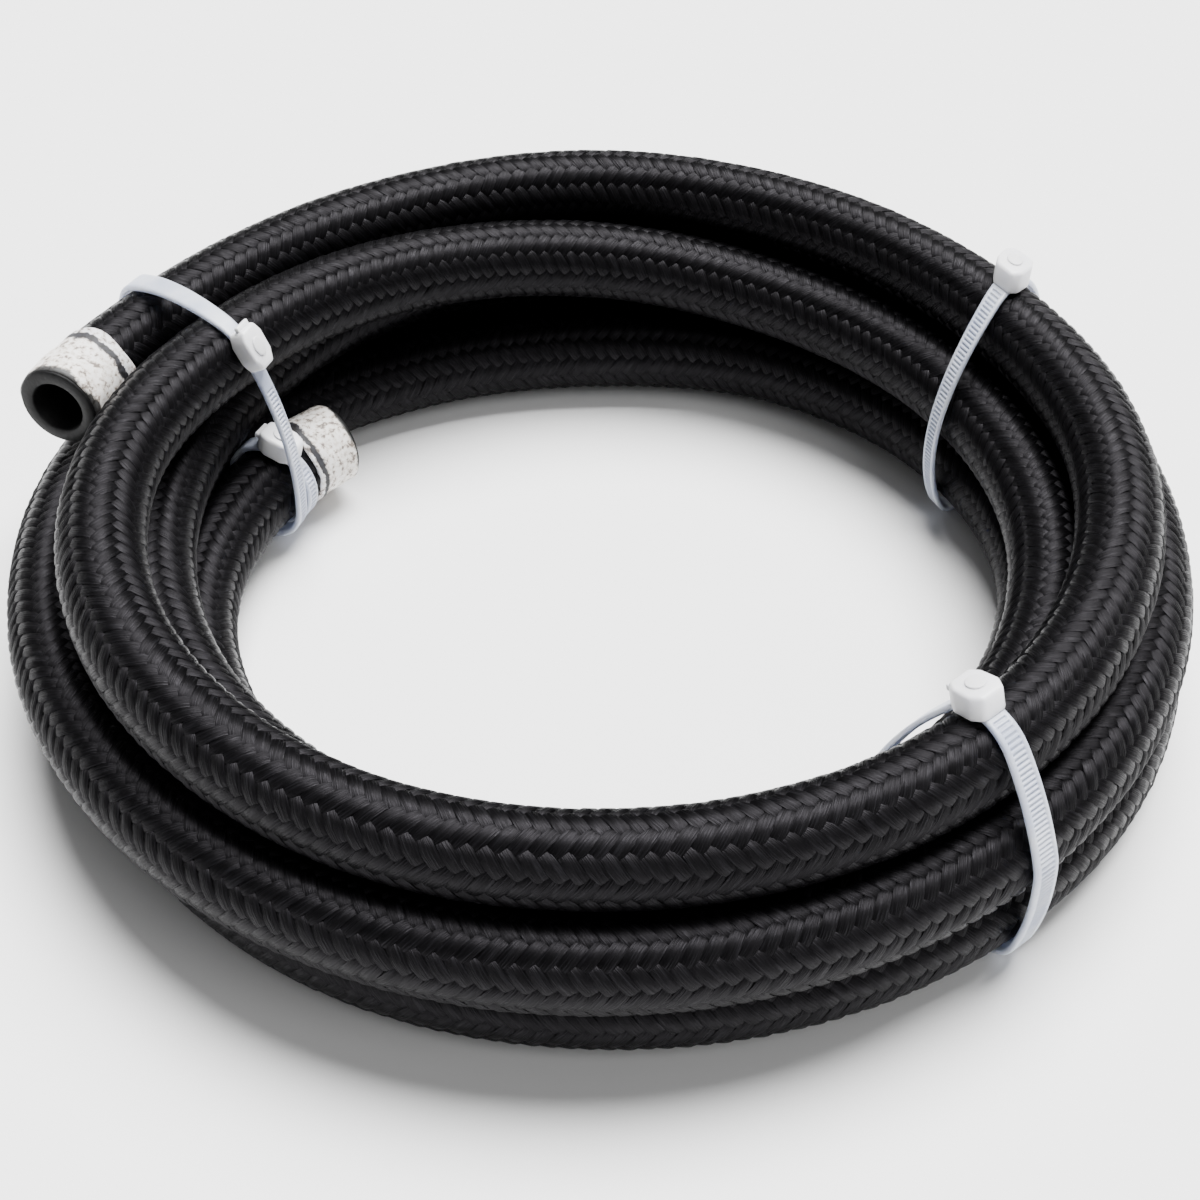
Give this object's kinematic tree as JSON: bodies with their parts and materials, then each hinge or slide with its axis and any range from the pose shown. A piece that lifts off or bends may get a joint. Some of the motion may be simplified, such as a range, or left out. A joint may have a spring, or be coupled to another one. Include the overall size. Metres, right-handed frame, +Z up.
{
  "type": "braided hose coil",
  "caption": "Length of nylon-braided rubber hose wound in a flat round coil, cut ends wrapped in white tape, held by white cable ties.",
  "frame": {"origin": "middle of the underside of the whole piece as it lies, on the floor", "axes": "+Z up out of the coil, +X to the right and +Y away from the viewer in the picture"},
  "size_m": [0.2384, 0.2294, 0.0545],
  "materials": {
    "hose": "woven black nylon over black rubber",
    "tape": "white tape, grubby",
    "tie": "milky nylon, satin"
  },
  "bodies": {
    "root": {"hose_coil": "hose", "hose_end_outer": "hose", "hose_end_inner": "hose", "end_wrap_outer": "tape", "end_wrap_inner": "tape", "tie_left": "tie", "tie_inner_end": "tie", "tie_back_right": "tie", "tie_front_right": "tie"}
  },
  "joints": []
}
